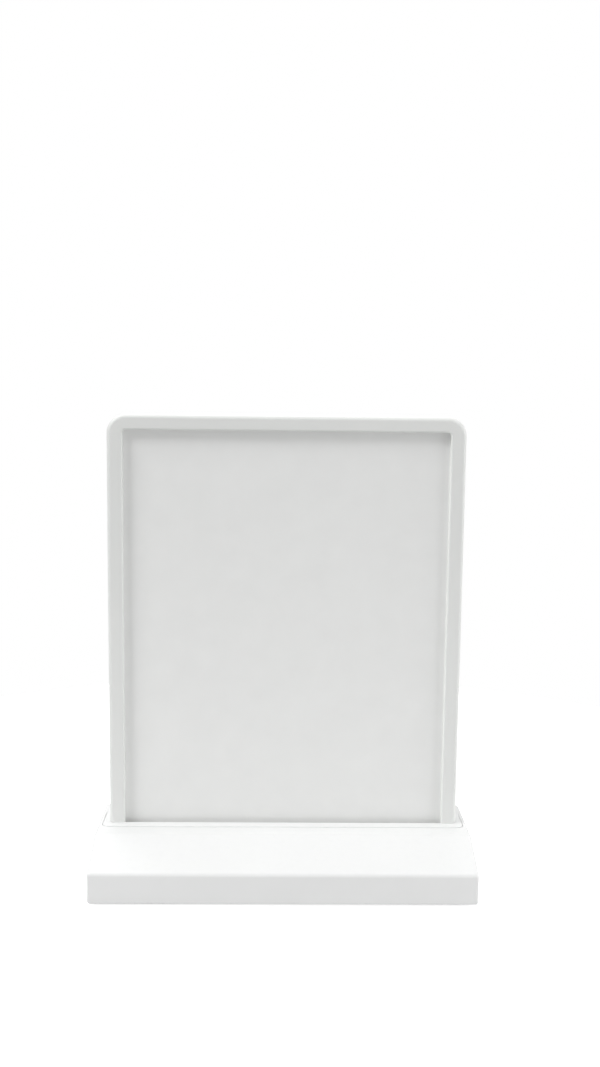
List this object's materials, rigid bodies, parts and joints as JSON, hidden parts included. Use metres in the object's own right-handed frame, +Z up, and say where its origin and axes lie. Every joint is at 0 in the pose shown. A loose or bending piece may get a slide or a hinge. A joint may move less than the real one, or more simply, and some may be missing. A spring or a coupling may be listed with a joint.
{
  "type": "desktop advertising light box",
  "caption": "Free-standing edge-lit sign: a thin framed panel with blank sheets on both sides, standing in the socket of a low sloped base with a push button and charging inlet.",
  "frame": {"origin": "middle of the base's footprint on the table, at the bottom of the feet", "axes": "+Z up, -Y towards the front of the sign, +X along the base to the viewer's right"},
  "size_m": [0.168, 0.084, 0.2086],
  "materials": {
    "white_shell": "satin",
    "frame_white": "satin",
    "foot_rubber": "matte",
    "screw_steel": "satin",
    "cell_foil": "satin",
    "pad_foam": "matte",
    "board_green": "satin",
    "chip_black": "matte",
    "connector_white": "satin",
    "lead_red": "satin",
    "lead_black": "satin",
    "port_steel": "satin",
    "lens_clear": "gloss",
    "button_white": "satin",
    "led_board_white": "satin",
    "led_yellow": "gloss",
    "guide_clear": "gloss",
    "tape_white": "matte",
    "panel_opal": "matte",
    "sheet_white": "matte"
  },
  "bodies": {
    "base": {"base_shell": "white_shell", "bottom_cover": "white_shell", "socket_collar": "white_shell", "rubber_feet": "foot_rubber", "cover_screws": "screw_steel", "battery_cell": "cell_foil", "battery_pad": "pad_foam", "control_board": "board_green", "board_screws": "screw_steel", "board_chips": "chip_black", "board_headers": "connector_white", "lead_plugs": "connector_white", "red_leads": "lead_red", "black_leads": "lead_black", "usb_port": "port_steel", "usb_tongue": "chip_black", "charge_lens": "lens_clear", "button_switch": "chip_black", "led_board": "led_board_white", "leds": "led_yellow"},
    "display": {"front_frame": "frame_white", "rear_frame": "frame_white", "light_guide": "guide_clear", "edge_tape": "tape_white", "front_panel": "panel_opal", "rear_panel": "panel_opal", "front_sheet": "sheet_white", "rear_sheet": "sheet_white"},
    "button": {"power_button": "button_white", "switch_plunger": "connector_white"}
  },
  "joints": [
    {"name": "display_lift", "type": "slide", "parent": "base", "child": "display", "axis": [0, 0, 1], "range_m": [0, 0.06]},
    {"name": "button_press", "type": "slide", "parent": "base", "child": "button", "axis": [0, -1, 0], "range_m": [0, 0.0008], "stiffness_N_per_m": 1500, "springref_m": -0.0005}
  ]
}
